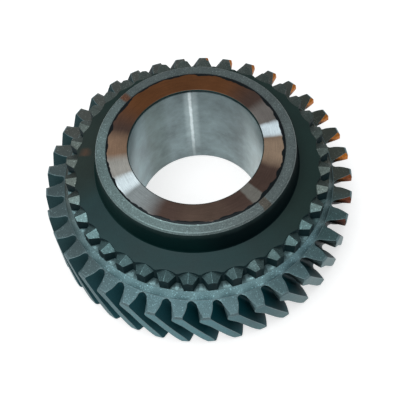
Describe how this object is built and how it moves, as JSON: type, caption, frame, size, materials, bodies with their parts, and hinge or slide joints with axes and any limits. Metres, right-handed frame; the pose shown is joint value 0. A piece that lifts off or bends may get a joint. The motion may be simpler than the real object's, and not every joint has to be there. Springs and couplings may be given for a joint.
{
  "type": "helical speed gear",
  "caption": "Helical gear wheel with a raised ring of pointed dog teeth, a tapered synchroniser hub and a plain ground bore, for a shaft in a manual gearbox.",
  "frame": {"origin": "on the gear's axis, in the plane of its plain lower face, on which it lies", "axes": "+Z along the axis, from the toothed rim towards the tapered hub; +X and +Y lie in the lower face, and the picture looks along +Y"},
  "size_m": [0.09, 0.09, 0.0346],
  "materials": {
    "gear_steel": "case-hardened and shot-blasted dark grey, with a ground hub face and a satin ground bore"
  },
  "bodies": {
    "root": {"gear_wheel": "gear_steel"}
  },
  "joints": []
}
